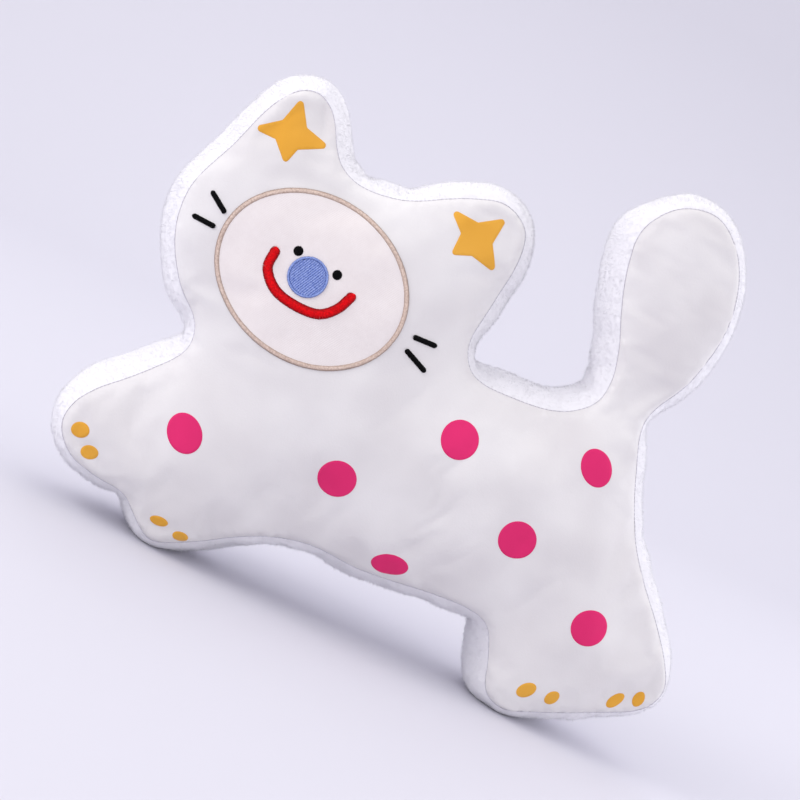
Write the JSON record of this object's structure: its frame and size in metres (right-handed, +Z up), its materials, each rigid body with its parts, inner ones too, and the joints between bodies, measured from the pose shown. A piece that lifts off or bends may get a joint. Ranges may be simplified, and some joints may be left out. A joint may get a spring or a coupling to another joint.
{
  "type": "plush cat cushion",
  "caption": "Flat stuffed cat cushion with a plush side band, an embroidered face, printed dots and two soles to stand on.",
  "frame": {"origin": "on the floor, under the middle of the cushion's box", "axes": "+Z up, +X from the face side towards the hind paw, the face looks towards -Y and the cushion is thinnest along Y"},
  "size_m": [0.5196, 0.1424, 0.4182],
  "materials": {
    "velvet": "short-nap printed velvet",
    "plush": "short white plush pile",
    "seam_thread": "matt polyester sewing thread",
    "filling": "loose polyester fibre",
    "stabiliser": "non-woven sheet",
    "face_fabric": "brushed pale pink knit",
    "tan_thread": "satin-stitched rayon thread",
    "blue_thread": "filled rayon embroidery",
    "red_thread": "satin-stitched rayon thread",
    "black_thread": "satin-stitched rayon thread",
    "amber_print": "dye print on velvet",
    "magenta_print": "dye print on velvet"
  },
  "bodies": {
    "root": {"front_panel": "velvet", "back_panel": "plush", "side_strip_upper": "plush", "side_strip_lower": "plush", "front_seam_thread": "seam_thread", "back_seam_thread": "seam_thread", "closing_stitches": "seam_thread", "fibre_filling": "filling", "embroidery_backing": "stabiliser", "face_patch": "face_fabric", "face_patch_border": "tan_thread", "nose_fill": "blue_thread", "nose_rim": "blue_thread", "mouth": "red_thread", "left_eye": "black_thread", "right_eye": "black_thread", "left_upper_whisker": "black_thread", "left_lower_whisker": "black_thread", "right_upper_whisker": "black_thread", "right_lower_whisker": "black_thread", "left_ear_star": "amber_print", "right_ear_star": "amber_print", "body_dots": "magenta_print", "front_paw_toes": "amber_print", "hind_paw_toes": "amber_print"}
  },
  "joints": []
}
